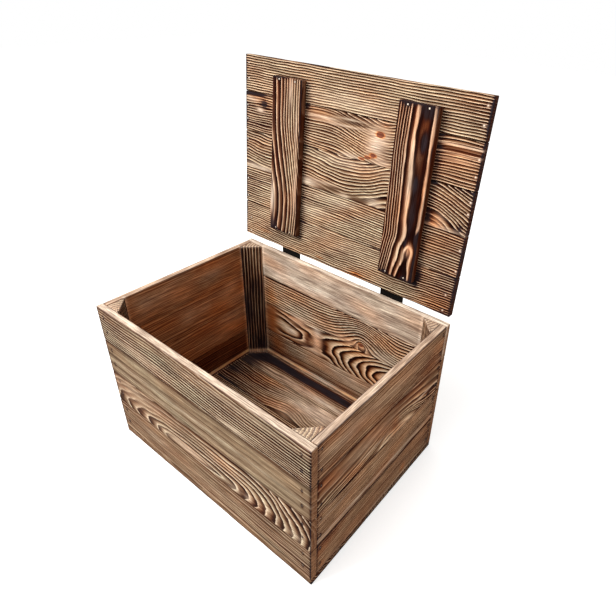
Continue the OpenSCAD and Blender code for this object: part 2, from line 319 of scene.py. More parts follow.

# %% [markdown]
# ## The boards' own figures
# These are the boards in the photograph: where the flames point, where a branch sat, where the
# torch stayed too long. The numbers are round because they were chosen, not measured point by
# point. Walls and floor are counted from the bottom and the front, the lid from its hinges, as the
# real box would be numbered when it is laid out on the bench.
#
# After the seed come the pith's route, its depth and the width of a ring or the growth. Chars are
# burnt patches, and on the lid's right end also painted shadow of the right batten; pales are
# brushed ones, warms reddish ones. Calms have little figure, and eyes are the hearts of knots.

# %% Trees of the boards
TREES = {
    "front_board_1": tree_of(
        11, [(0, -60), (500, -66)], [(0, 20)], 7, contrast=0.5, burn=0.36, warm=-0.35, ripple=0.4,
        chars=[(405, 55, 45, 16, 0.45), (450, 28, 70, 2.5, 0.5), (60, 30, 60, 3, 0.3),
            (300, 8, 120, 3, 0.3)], pales=[(110, 40, 40, 10, 0.2), (260, 30, 60, 8, 0.15)],
        calms=[(140, 36, 160, 40, 0.6)]),
    "front_board_2": tree_of(
        12, [(0, 11), (135, 9), (290, 12), (400, 17), (500, 15)],
        [(0, 52), (40, 42), (80, 32), (115, 22), (150, 9), (290, 8), (345, 20), (377, 30), (403, 40),
            (425, 50), (440, 60), (460, 70), (480, 80), (500, 92)], 9, ripple=0.7, waver=2.4, regular=0.7,
        contrast=0.85, burn=0.36, warm=-0.2,
        pales=[(205, 12, 62, 8, 0.5), (330, 8, 14, 8, 0.35), (366, 10, 9, 8, 0.3), (70, 50, 80, 26, 0.2),
            (470, 12, 12, 10, 0.3)],
        chars=[(36, 11, 12, 7, 0.35), (78, 12, 12, 7, 0.35), (120, 12, 13, 7, 0.35), (302, 12, 12, 8, 0.4),
            (346, 14, 10, 9, 0.35), (385, 14, 10, 9, 0.3), (452, 12, 60, 12, 0.2), (210, 27, 90, 1.8, 0.4)],
        calms=[(70, 54, 120, 30, 0.7), (200, 62, 90, 20, 0.4), (210, 10, 60, 10, 0.5)]),
    "front_board_3": tree_of(
        13, [(0, -42), (500, -46)], [(0, 20)], 8, contrast=0.14, warm=-0.8,
        pales=[(250, 33, 340, 4, 0.35), (200, 14, 260, 5, 0.15)],
        chars=[(250, 24, 320, 2.0, 0.25), (250, 46, 320, 5, 0.12), (250, 70, 320, 2.5, 0.3)]),
    "front_board_4": tree_of(
        14, [(0, 152), (200, 150), (330, 139), (500, 132)], [(0, 26)], 6.3,
        knots=[(430, -6, 120, 24, 13), (-20, -6, 110, 30, 9)], ripple=0.3, regular=0.9, waver=0.9,
        contrast=0.9, burn=0.32, warm=-0.4,
        chars=[(240, 14, 60, 1.6, 0.5), (300, 7, 34, 1.6, 0.6), (390, 11, 60, 1.6, 0.5),
            (470, 5, 60, 1.6, 0.5), (400, 34, 130, 12, 0.25), (260, 40, 90, 9, 0.2), (60, 40, 90, 20, 0.12),
            (160, 30, 60, 1.6, 0.4)],
        pales=[(350, 58, 130, 5, 0.2), (120, 20, 60, 10, 0.25), (345, 8, 30, 5, 0.5)],
        calms=[(200, 66, 400, 16, 0.35)]),
    "right_board_1": tree_of(
        21, [(0, -60), (339, -52)], [(0, 30)], 3.4, contrast=0.6, burn=0.38,
        warms=[(12, 14, 8, 10, 0.5), (245, 22, 8, 12, 0.5)], pales=[(180, 5, 160, 5, 0.25)],
        chars=[(120, 70, 110, 3, 0.5), (230, 38, 50, 5, 0.4), (36, 60, 22, 14, 0.4),
            (330, 40, 20, 40, 0.2)]),
    "right_board_2": tree_of(
        22, [(0, -40), (339, -46)], [(0, 20)], 3.6, contrast=0.7, burn=0.22,
        pales=[(170, 9, 260, 4.2, 0.5), (60, 51, 60, 2, 0.4)],
        chars=[(170, 19, 260, 3, 0.55), (170, 1, 220, 2, 0.5), (290, 26, 34, 8, 0.35),
            (60, 56, 60, 1.5, 0.3)]),
    "right_board_3": tree_of(
        23, [(0, -14), (80, -10), (165, -3), (230, -12), (339, -24)], [(0, 8)],
        growth=[(0, 0), (17, 1), (22, 2), (27, 3), (34, 4), (60, 5.5), (100, 8)],
        knots=[(172, 12, 16, 14, -5), (214, -4, 60, 50, -22)], contrast=0.95, burn=0.34, ripple=0.3,
        regular=0.6, warms=[(198, 32, 12, 26, 0.4)],
        pales=[(285, 27, 26, 2.2, 0.8), (140, 22, 36, 2, 0.5), (120, 48, 70, 14, 0.2)],
        chars=[(272, 27, 22, 2, 0.6), (300, 15, 24, 4, 0.8), (165, 10, 14, 3, 0.6), (205, 66, 24, 5, 0.35),
            (300, 62, 30, 8, 0.3), (60, 10, 70, 2, 0.4), (120, 5, 50, 1.6, 0.5)],
        calms=[(70, 55, 120, 32, 0.9), (190, 70, 60, 30, 0.8), (310, 56, 46, 30, 0.85)]),
    "right_board_4": tree_of(
        24, [(0, -50), (339, -46)], [(0, 20)], 3.6, contrast=0.6, burn=0.28, warms=[(305, 44, 30, 18, 0.3)],
        pales=[(70, 40, 60, 14, 0.2), (200, 44, 50, 12, 0.15)],
        chars=[(280, 16, 46, 13, 0.42), (170, 8, 90, 4, 0.4), (50, 2, 60, 2, 0.6), (60, 66, 40, 5, 0.3)]),
    "back_board_1": tree_of(
        31, [(0, -70), (500, -60)], [(0, 20)], 3.6, contrast=0.7, burn=0.16, warm=0.1,
        warms=[(80, 46, 24, 40, 0.7)], calms=[(200, 24, 300, 8, 0.6)],
        chars=[(150, 19, 320, 6, 0.5), (150, 33, 320, 2.5, 0.4), (60, 40, 50, 60, 0.5)],
        pales=[(290, 55, 90, 20, 0.25)]),
    "back_board_2": tree_of(
        32, [(0, 34), (190, 34), (240, 34), (500, 24)],
        [(0, 66), (100, 70), (190, 77), (215, 77), (300, 57), (380, 34), (500, 8)], 6.6,
        knots=[(146, 32, 46, 24, -5)], ripple=0.6, regular=0.8, contrast=1.1, burn=0.0, warm=0.25,
        chars=[(176, 28, 14, 16, 0.7), (132, 50, 34, 4, 0.6), (108, 24, 7, 9, 0.5), (146, 12, 44, 4, 0.6),
            (240, 20, 12, 20, 0.3), (122, 66, 5, 8, 0.5)],
        pales=[(130, 31, 14, 8, 0.9), (152, 66, 24, 8, 0.8), (205, 50, 12, 36, 0.95), (188, 6, 24, 6, 0.6)],
        warms=[(68, 36, 18, 60, 0.7)],
        calms=[(64, 36, 30, 90, 1.0), (176, 28, 12, 14, 0.6), (206, 30, 14, 40, 0.9)]),
    "back_board_3": tree_of(
        33, [(0, -24), (200, -26), (325, -24), (500, -10)], [(0, 10)], 6.3,
        knots=[(325, 45, 56, 46, -31), (325, 15, 13, 11, -12), (405, 34, 30, 22, 6)], ripple=0.4,
        regular=0.8, contrast=1.3, burn=0.36, warm=0.2,
        chars=[(323, 16, 11, 9, 0.5), (260, 40, 60, 10, 0.2), (180, 70, 160, 3, 0.3)],
        pales=[(150, 5, 50, 5, 0.5), (290, 10, 40, 8, 0.5), (380, 12, 30, 8, 0.5), (200, 24, 40, 3, 0.3)],
        warms=[(66, 36, 18, 60, 0.5)], eyes=[(323, 16, 6, 5, 0.75)]),
    "back_board_4": tree_of(
        34, [(0, -70), (300, -72), (500, -60)], [(0, 14)], 4.5, contrast=0.9, knots=[(400, 20, 60, 30, -6)],
        burn=0.12, warm=0.05,
        pales=[(350, 24, 260, 30, 0.9), (90, 24, 160, 30, 0.6), (250, 62, 500, 14, 0.7)],
        chars=[(100, 3, 40, 2, 0.9), (200, 3, 25, 2, 0.9), (270, 3, 16, 2, 0.8), (400, 3, 50, 2.2, 1.0)]),
    # The left wall shows from inside. Boards 2 to 4 have burn below 0 and more warmth, which makes their
    # inside paler and warmer: painted light for the light that falls on this inner wall. Board 1 is darker,
    # so the wall gets darker towards the bottom.
    "left_board_1": tree_of(
        71, [(0, -50), (338, -54)], [(0, 20)], 5, contrast=0.3, burn=0.74, warm=0.5,
        chars=[(170, 8, 300, 16, 0.4), (110, 40, 80, 80, 0.3)]),
    "left_board_2": tree_of(
        72, [(0, -52), (338, -50)], [(0, 20)], 4.6, contrast=0.32, burn=-0.36, warm=0.45,
        chars=[(120, 24, 46, 50, 0.4), (170, 60, 30, 20, 0.2), (220, 6, 90, 6, 0.25)],
        pales=[(262, 44, 50, 34, 0.35)], warms=[(250, 44, 60, 40, 0.3)]),
    "left_board_3": tree_of(
        73, [(0, -50), (338, -54)], [(0, 20)], 4.8, contrast=0.32, burn=-0.24, warm=0.45,
        chars=[(80, 20, 40, 30, 0.35), (200, 8, 110, 7, 0.3), (150, 66, 100, 4, 0.3),
            (220, 62, 16, 8, 0.25)],
        pales=[(270, 44, 34, 30, 0.4), (155, 42, 24, 18, 0.3), (200, 40, 18, 14, 0.25)],
        warms=[(262, 40, 46, 36, 0.35)]),
    "left_board_4": tree_of(
        74, [(0, -46), (338, -50)], [(0, 20)], 4.6, contrast=0.32, burn=-0.2, warm=0.42,
        chars=[(60, 8, 60, 6, 0.3), (170, 71, 220, 3.5, 0.8), (230, 10, 90, 6, 0.35),
            (150, 60, 70, 3, 0.35), (110, 66, 30, 5, 0.3)],
        pales=[(130, 40, 46, 24, 0.35), (230, 44, 34, 18, 0.3), (60, 36, 24, 28, 0.3)]),
    "floor_board_3": tree_of(
        43, [(0, -34), (260, -30), (500, -38)], [(0, 12)], 5.2, contrast=0.9, burn=0.3,
        chars=[(26, 36, 90, 80, 0.6)]),
    "floor_board_4": tree_of(
        44, [(0, -30), (200, -34), (500, -40)], [(0, 12)], 5.6, knots=[(225, 34, 52, 40, -16)],
        contrast=0.9, burn=0.24, ripple=0.6, regular=0.4,
        chars=[(36, 36, 84, 90, 0.75), (120, 40, 70, 12, 0.25), (180, 2, 150, 2, 0.7)],
        warms=[(110, 40, 60, 40, 0.2)],
        pales=[(240, 50, 60, 20, 0.6), (300, 60, 40, 30, 0.6), (230, 14, 50, 10, 0.3)]),
    "floor_board_5": tree_of(
        45, [(0, -40), (500, -36)], [(0, 10)], 6.6, contrast=0.8, burn=0.36,
        chars=[(250, 44, 420, 14, 1.15), (30, 20, 60, 80, 0.8)], calms=[(250, 44, 420, 15, 1.0)],
        pales=[(280, 14, 80, 6, 0.5), (210, 10, 130, 14, 0.4)]),
    # On lid boards 1 to 4 the chars near s 440 to 490 are painted shadow of the right batten on the lid's
    # right end; the warms there are the wood's own colour.
    "lid_board_1": tree_of(
        51, [(0, -60), (260, -64), (500, -56)], [(0, 10)], 4.4, contrast=1.3, regular=0.7, burn=0.4,
        pales=[(240, 52, 90, 16, 0.12)],
        warms=[(210, 11, 10, 3, 0.8), (300, 8, 12, 3, 1.0), (60, 20, 20, 4, 0.4), (465, 40, 50, 60, 0.25)],
        chars=[(465, 40, 44, 90, 0.3), (490, 40, 34, 60, 0.3)]),
    "lid_board_2": tree_of(
        52, [(0, -50), (500, -58)], [(0, 10)], 4.5, contrast=1.4, burn=0.32, regular=0.7, warm=-0.1,
        pales=[(230, 61, 50, 8, 0.3), (190, 30, 44, 12, 0.2)],
        chars=[(300, 42, 90, 1.5, 0.8), (190, 47, 44, 1.5, 0.8), (40, 51, 60, 1.4, 0.8),
            (26, 30, 34, 30, 0.35), (470, 40, 40, 60, 0.35)], warms=[(460, 40, 50, 60, 0.3)]),
    "lid_board_3": tree_of(
        53,
        [(0, -20), (70, -27), (160, -22), (258, -32), (310, -22), (340, -10), (400, -8), (425, -8),
            (500, -34)], [(0, 8)], growth=[(-60, -17), (30, -0.35), (36, 0), (42, 1), (75, 6.8), (120, 15)],
        knots=[(438, 10, 34, 30, -9)], ripple=0.6, regular=0.7, burn=0.34, warm=-0.1,
        chars=[(225, 9, 22, 7, 0.3), (282, 6, 22, 5, 0.3), (487, 10, 5, 8, 1.1), (40, 64, 50, 10, 0.25),
            (470, 70, 50, 4, 0.5), (428, 8, 9, 12, 0.4), (470, 40, 50, 50, 0.12)],
        pales=[(34, 5, 60, 6, 0.8), (172, 8, 22, 7, 0.85), (256, 3, 12, 4, 0.7), (320, 8, 16, 8, 0.7),
            (250, 62, 90, 9, 0.22), (200, 16, 30, 3, 0.5), (458, 2, 34, 4, 0.7), (450, 16, 10, 10, 0.3)],
        warms=[(438, 10, 18, 16, 0.6), (445, 8, 40, 36, 0.3), (225, 9, 22, 7, -0.8), (282, 6, 22, 5, -0.6)],
        calms=[(225, 9, 22, 7, 0.95), (282, 6, 22, 5, 0.9), (172, 8, 30, 8, 0.9), (436, 12, 10, 10, 0.7)]),
    "lid_board_4": tree_of(
        54, [(0, -48), (160, -48), (225, -50), (290, -64), (330, -70), (430, -46), (500, -46)],
        [(0, 10), (160, 20), (240, 24), (330, 26), (500, 24)], 4.5,
        knots=[(316, 58, 40, 17, 4), (312, 12, 12, 6, -2)], ripple=0.5, regular=0.7, burn=0.4, warm=0.05,
        chars=[(24, 71, 50, 4, 1.0), (50, 56, 12, 9, 1.0), (30, 36, 50, 26, 0.4), (262, 59, 36, 3, 0.55),
            (230, 68, 80, 4, 0.35), (468, 54, 40, 4, 0.4), (30, 12, 50, 12, 0.25), (440, 30, 30, 60, 0.2),
            (328, 67, 8, 3, 0.6), (309, 14, 6, 3.5, 0.35), (480, 65, 30, 3, 0.3)],
        pales=[(312, 30, 18, 20, 0.75), (262, 3, 20, 5, 0.6), (318, 51, 20, 14, 0.5), (18, 60, 18, 3, 0.9),
            (40, 43, 9, 4, 0.9), (192, 57, 34, 3, 0.95), (240, 51, 50, 2, 0.7), (468, 61.5, 50, 1.4, 0.9),
            (330, 4, 16, 8, 0.6), (255, 63, 30, 1.5, 0.7), (468, 49, 44, 1.2, 0.7),
            (460, 40, 22, 2.5, 0.5)],
        warms=[(328, 67, 7, 3, 0.5), (262, 59, 36, 4, -0.6), (460, 30, 50, 40, 0.25)],
        calms=[(230, 59, 90, 9, 0.85), (314, 30, 20, 22, 0.8), (468, 55, 60, 5, 0.9)],
        eyes=[(319, 50, 8.5, 5.2, 1.0), (309, 14, 7, 4, 0.85), (299, 9, 7, 2.4, 0.9),
            (286, 4, 7, 2.2, 0.9)]),
    "lid_board_5": tree_of(
        55, [(0, -80), (500, -84)], [(0, 6)], 4.2, burn=0.24, contrast=1.1, warm=-0.1, ripple=0.3,
        regular=0.9, pales=[(255, 14, 84, 13, 0.25)],
        chars=[(330, 32, 170, 1.3, 0.5), (30, 22, 50, 26, 0.3), (486, 20, 30, 34, 0.3),
            (250, 50, 280, 12, 0.12), (250, 63, 280, 2, 0.35)]),
    "batten_left": tree_of(
        61, [(0, -41), (50, -37), (90, -40), (120, -46), (170, -55), (200, -60), (290, -63)], [(0, 1)],
        growth=[(20, -4), (48, -1), (61, 0), (73.5, 1), (85, 2), (93, 3), (99, 4), (140, 11)], waver=0.4,
        ripple=0.2, regular=1.0, burn=0.72, contrast=1.15,
        chars=[(145, 71, 220, 2.5, 0.6), (14, 10, 26, 8, 0.2), (230, 2, 90, 4, 0.2),
            (150, 57, 190, 13, -0.3), (150, 16, 300, 18, 0.12)],
        pales=[(66, 4, 30, 6, 0.9), (94, 64, 40, 3, 0.6), (270, 46, 26, 4, 0.6), (200, 62, 40, 2, 0.5)],
        warms=[(90, 53, 44, 3, 0.3), (94, 62, 46, 6, 0.2), (262, 46, 30, 6, 0.2),
            (170, 52, 150, 12, -0.4)]),
    "batten_right": tree_of(
        62, [(0, 49), (30, 52), (62, 56), (100, 55), (150, 54), (230, 52), (290, 52.5)],
        [(0, 4), (30, 11.8), (62, 14.0), (70, 17.4), (110, 18.4), (150, 18), (180, 17.8), (230, 17),
            (290, 17.4)],
        growth=[(0, 1.2), (12.6, 1.96), (14.6, 2.1), (20.6, 2.92), (25, 3.12), (31.8, 3.93), (34.2, 4.1),
            (37, 5), (41.4, 6), (75, 13.6)], waver=0.3, ripple=0.2, regular=1.0, burn=0.78, warm=0.1,
        pales=[(150, 40, 36, 4, 0.7), (55, 56, 9, 3.5, 0.6)],
        chars=[(150, 72.5, 260, 4, 0.5), (235, 53, 16, 6, 0.6), (170, 50, 16, 5, 0.5),
            (116, 54, 40, 8, 0.45), (30, 70, 34, 4, 0.4), (16, 52, 22, 6, 0.2), (80, 67, 16, 5, 0.6),
            (66, 47, 10, 3.5, 0.5), (280, 54, 12, 9, 0.5), (140, 8, 300, 14, 0.16)],
        warms=[(150, 64, 34, 4, 0.8), (56, 56, 12, 6, 0.7), (196, 61, 10, 4, 0.8), (262, 54, 12, 7, 0.4)]),
}
for number in (1, 2):
    TREES[f"floor_board_{number}"] = any_tree(40 + number, contrast=0.7, burn=0.36,
                                              chars=[(26, 36, 46, 80, 0.6)])
for number, corner in enumerate(("front_left", "front_right", "back_left", "back_right")):
    TREES["post_" + corner] = tree_of(
        80 + number, [(0, -16), (290, -20)], [(0, 12)], burn=0.98, waver=0.4, ripple=0.2, regular=1.0,
        chars=[(120, 20, 60, 60, 0.2), (290, 20, 60, 60, -0.25)], pales=[(7.5, 20, 4, 90, 0.95)],
        warms=[(7.5, 20, 4, 90, 0.6)])
print(len(TREES), "trees")

# %% [markdown]
# ## A board as a closed surface
# A board is its rounded section carried along its length. The section is walked once around, the
# stations run from end to end, and both are dense enough to carry the grooves that the brush left.
# At each end the section shrinks onto its middle line, so the end grain has rows of its own and
# the shell is closed. Stations crowd together where a brad sits, because each head lies in a small
# dent.

# %% Section of a board
FACE_STEP = 1.5
LENGTH_STEP = 4.0
ARRIS = 2.0
END_ARRIS = 1.0
POST_ARRIS = 1.4


def board_walk(width, thick):
    """Once around a rectangle with rounded corners, from the middle of the edge w = 0 over the
    show face d = 0 to the other edge and back over the far face, which mirrors the first half.
    Returns points (w, d), outward directions, the middle line and each point's place on it."""
    edge = np.linspace(thick / 2, ARRIS, max(2, round((thick / 2 - ARRIS) / FACE_STEP)) + 1)
    turn = np.linspace(0, np.pi / 2, 5)[1:-1]
    face = np.linspace(ARRIS, width - ARRIS, round((width - 2 * ARRIS) / FACE_STEP) + 1)
    flat, none, full = np.zeros_like(face), np.zeros_like(edge), np.ones_like(edge)
    sine, cosine = np.sin(turn), np.cos(turn)
    w = np.concatenate([none, ARRIS - ARRIS * cosine, face, width - ARRIS + ARRIS * sine, width * full])
    d = np.concatenate([edge, ARRIS - ARRIS * sine, flat, ARRIS - ARRIS * cosine, edge[::-1]])
    out_w = np.concatenate([-full, -cosine, flat, sine, full])
    out_d = np.concatenate([none, -sine, flat - 1, -cosine, none])
    half = len(w)
    mirrored = np.arange(half - 2, 0, -1)
    place = np.concatenate([np.arange(half), mirrored])
    middle = np.column_stack([np.linspace(thick / 2, width - thick / 2, half), np.full(half, thick / 2)])
    points = np.column_stack([w[place], np.concatenate([d, thick - d[mirrored]])])
    outward = np.column_stack([out_w[place], np.concatenate([out_d, -out_d[mirrored]])])
    return points, outward, middle, place


def post_walk(leg):
    """Once around a right triangle whose long side is the show face d = 0: three straight sides
    joined by corners that are rounded by cutting back along both sides. It shrinks to one point."""
    long_side = leg * math.sqrt(2)
    corners = np.array([(0, 0), (long_side, 0), (long_side / 2, long_side / 2)], float)
    bend = np.array([0.3, 0.7])[:, None]
    points, outward = [], []
    for k in range(3):
        a, b, c = corners[k], corners[(k + 1) % 3], corners[(k + 2) % 3]
        side = np.linalg.norm(b - a)
        run, turned = (b - a) / side, (c - b) / np.linalg.norm(c - b)
        t = np.linspace(POST_ARRIS, side - POST_ARRIS, round((side - 2 * POST_ARRIS) / FACE_STEP) + 1)
        start, end = b - POST_ARRIS * run, b + POST_ARRIS * turned
        points += [a + t[:, None] * run,
                   (1 - bend) ** 2 * start + 2 * bend * (1 - bend) * b + bend**2 * end]
        lean = (1 - bend) * (run[1], -run[0]) + bend * (turned[1], -turned[0])
        outward += [np.tile((run[1], -run[0]), (len(t), 1)), lean / np.linalg.norm(lean, axis=1)[:, None]]
    points, outward = np.concatenate(points), np.concatenate(outward)
    return points, outward, corners.mean(0)[None, :], np.zeros(len(points), int)


print("a board's section has", len(board_walk(73, 13.5)[0]), "points")

# %% Stations along a board
DENT_ROWS = (-2.6, -1.5, -0.5, 0.5, 1.5, 2.6)


def stations(length, dents):
    """Rows from end to end as (s, inset, shrink): the shrunken rows of the end grain, three rows
    round the end's arris, then even steps with extra ones around each dent."""
    inner = np.linspace(END_ARRIS, length - END_ARRIS, round((length - 2 * END_ARRIS) / LENGTH_STEP) + 1)
    near = [at + off for at in sorted({dent[0] for dent in dents}) for off in DENT_ROWS]
    near = np.array([s for s in near if END_ARRIS < s < length - END_ARRIS])
    if len(near):
        inner = inner[np.abs(inner[:, None] - near[None, :]).min(1) > 0.7]
        inner = np.sort(np.concatenate([inner, near, [END_ARRIS, length - END_ARRIS]]))
        inner = inner[np.concatenate([[True], np.diff(inner) > 0.01])]
    head = np.array([(0, END_ARRIS, 0.7), (0, END_ARRIS, 0.35), (0, END_ARRIS, 0),
                     (0.3 * END_ARRIS, 0.3 * END_ARRIS, 0)])
    body = np.column_stack([inner, np.zeros((len(inner), 2))])
    tail = head[::-1].copy()
    tail[:, 0] = length - tail[:, 0]
    return np.concatenate([head, body, tail])


def shell_points(walk, rows):
    """Every vertex as (s, w, d), its outward direction (w, d), and a flag that is 1 on the sides
    and 0 on the end grain. The two closing middle lines come last."""
    points, outward, middle, place = walk
    s, inset, shrink = rows.T
    wd = points[None] - inset[:, None, None] * outward[None]
    wd = wd + (middle[place][None] - wd) * shrink[:, None, None]
    grid = np.concatenate([np.broadcast_to(s[:, None, None], wd.shape[:2] + (1,)), wd], axis=2)
    ends = [np.column_stack([np.full(len(middle), at), middle]) for at in (s[0], s[-1])]
    side = np.broadcast_to((inset == 0)[:, None], wd.shape[:2]).ravel()
    out = np.broadcast_to(outward[None], wd.shape).reshape(-1, 2)
    spare = np.zeros(2 * len(middle))
    return (np.concatenate([grid.reshape(-1, 3)] + ends),
            np.concatenate([out, np.column_stack([spare, spare])]), np.concatenate([side, spare]))


def shell_faces(row_count, around, middle_count, place):
    """Quads between neighbouring rows, and between the first and last row and their middle line,
    where a point goes to its own place on that line. At a pole there are triangles instead."""
    k = np.arange(around)
    after = (k + 1) % around
    row = np.arange(row_count - 1)[:, None] * around
    quads = np.stack([row + k, row + after, row + around + after, row + around + k], axis=2).reshape(-1, 4)
    first, last = row_count * around, (row_count - 1) * around
    far = first + middle_count
    if middle_count == 1:
        start = np.column_stack([first + place, after, k])
        return quads, np.concatenate([start, np.column_stack([last + k, last + after, far + place])])
    start = np.column_stack([first + place[k], first + place[after], after, k])
    end = np.column_stack([last + k, last + after, far + place[after], far + place[k]])
    return np.concatenate([quads, start, end]), np.zeros((0, 3), int)


def new_piece(name, vertices, quads, triangles, finish, body):
    """A mesh object at the origin from whole arrays: corners are flattened into one loop list."""
    mesh = bpy.data.meshes.new(name)
    corners = np.concatenate([quads.ravel(), triangles.ravel()]).astype(np.int32)
    sizes = np.concatenate([np.full(len(quads), 4), np.full(len(triangles), 3)])
    mesh.vertices.add(len(vertices))
    mesh.vertices.foreach_set("co", np.asarray(vertices, np.float32).ravel())
    mesh.loops.add(len(corners))
    mesh.loops.foreach_set("vertex_index", corners)
    mesh.polygons.add(len(sizes))
    mesh.polygons.foreach_set("loop_start", (np.cumsum(sizes) - sizes).astype(np.int32))
    mesh.update(calc_edges=True)
    mesh.validate()
    mesh.polygons.foreach_set("use_smooth", np.ones(len(sizes), bool))
    mesh.materials.append(finish)
    piece = in_scene(name, mesh)
    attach(piece, body)
    return piece


print("rows and faces of a shell are worked out as whole arrays")

# %% [markdown]
# ## Torched and brushed pine
# Each ring goes from pale spring wood to hard, dark summer wood and then jumps back, so the colour
# runs along one ring and repeats: that is the fraction of the ring count. A torch mark isn't
# another colour laid on top. It widens the dark part of every ring until only thin pale lines are
# left, and at last chars them too, so the finish has two colour ramps and slides from the clean
# one to the burnt one. Fibres are noise that is stretched along the board. The pale arrises,
# where brush and sandpaper cut through the burnt skin, come last.
#
# The mesh brings three vectors for this: figure (ring count, contrast, burn), finish (pale, warm,
# one number per board) and fibre (the place in the board, in metres).

# %% The wood finish
# Per channel: the level that stays as it is, and the power that takes everything else away from it
DEEPEN = [(0.42, 1.14), (0.36, 1.26), (0.27, 1.28)]
CLEAN = [(0.0, (0.78, 0.60, 0.43)), (0.20, (0.68, 0.51, 0.35)), (0.42, (0.42, 0.275, 0.165)),
         (0.55, (0.19, 0.095, 0.045)), (0.67, (0.045, 0.017, 0.009)), (0.82, (0.012, 0.005, 0.004)),
         (0.93, (0.012, 0.005, 0.004)), (1.0, (0.72, 0.55, 0.39))]
BURNT = [(0.0, (0.74, 0.57, 0.43)), (0.10, (0.58, 0.42, 0.29)), (0.20, (0.16, 0.075, 0.040)),
         (0.33, (0.042, 0.015, 0.008)), (0.75, (0.012, 0.0048, 0.0035)), (0.94, (0.012, 0.005, 0.004)),
         (1.0, (0.64, 0.48, 0.35))]
CALM_CLEAN = (0.33, 0.20, 0.112)
CALM_BURNT = (0.075, 0.027, 0.012)
# charred wood: its own grey-black, made lighter and bluer as a painted sheen for the blue-grey light that
# char reflects
CHAR_WITH_SHEEN = (0.027, 0.0265, 0.032)
ARRIS_PALE = (0.70, 0.545, 0.42)
HEART = (0.21, 0.085, 0.052)
WARMER = (1.32, 0.80, 0.48)
GREYER = (1.14, 1.05, 0.72)
RIDGE = [(0.0, (0.55,) * 3), (0.35, (0.3,) * 3), (0.7, (0.55,) * 3), (0.93, (1.0,) * 3), (1.0, (0.55,) * 3)]


def ramp(tree, place, stops):
    """Colour ramp through (position, colour) stops, read at `place`."""
    made = node(tree, "ValToRGB", place)
    band = made.color_ramp
    for element, (position, colour) in zip(band.elements, (stops[0], stops[-1])):
        element.position, element.color = position, colour + (1.0,)
    for position, colour in stops[1:-1]:
        band.elements.new(position).color = colour + (1.0,)
    return made.outputs[0]


def deepened(tree, colour):
    """Scorched wood gets redder as it gets darker: each channel c becomes p (c / p) ^ n."""
    split, joined = node(tree, "SeparateColor", colour), node(tree, "CombineColor")
    for channel, (level, power) in enumerate(DEEPEN):
        part = sums(tree, "POWER", sums(tree, "DIVIDE", split.outputs[channel], level), power)
        feed(tree, joined.inputs[channel], sums(tree, "MULTIPLY", part, level, clamp=True))
    return joined.outputs[0]


def new_finish(name):
    """A new material, its node tree and the inputs of its shader."""
    finish = bpy.data.materials.new(name)
    finish.use_nodes = True
    return finish, finish.node_tree, finish.node_tree.nodes["Principled BSDF"].inputs


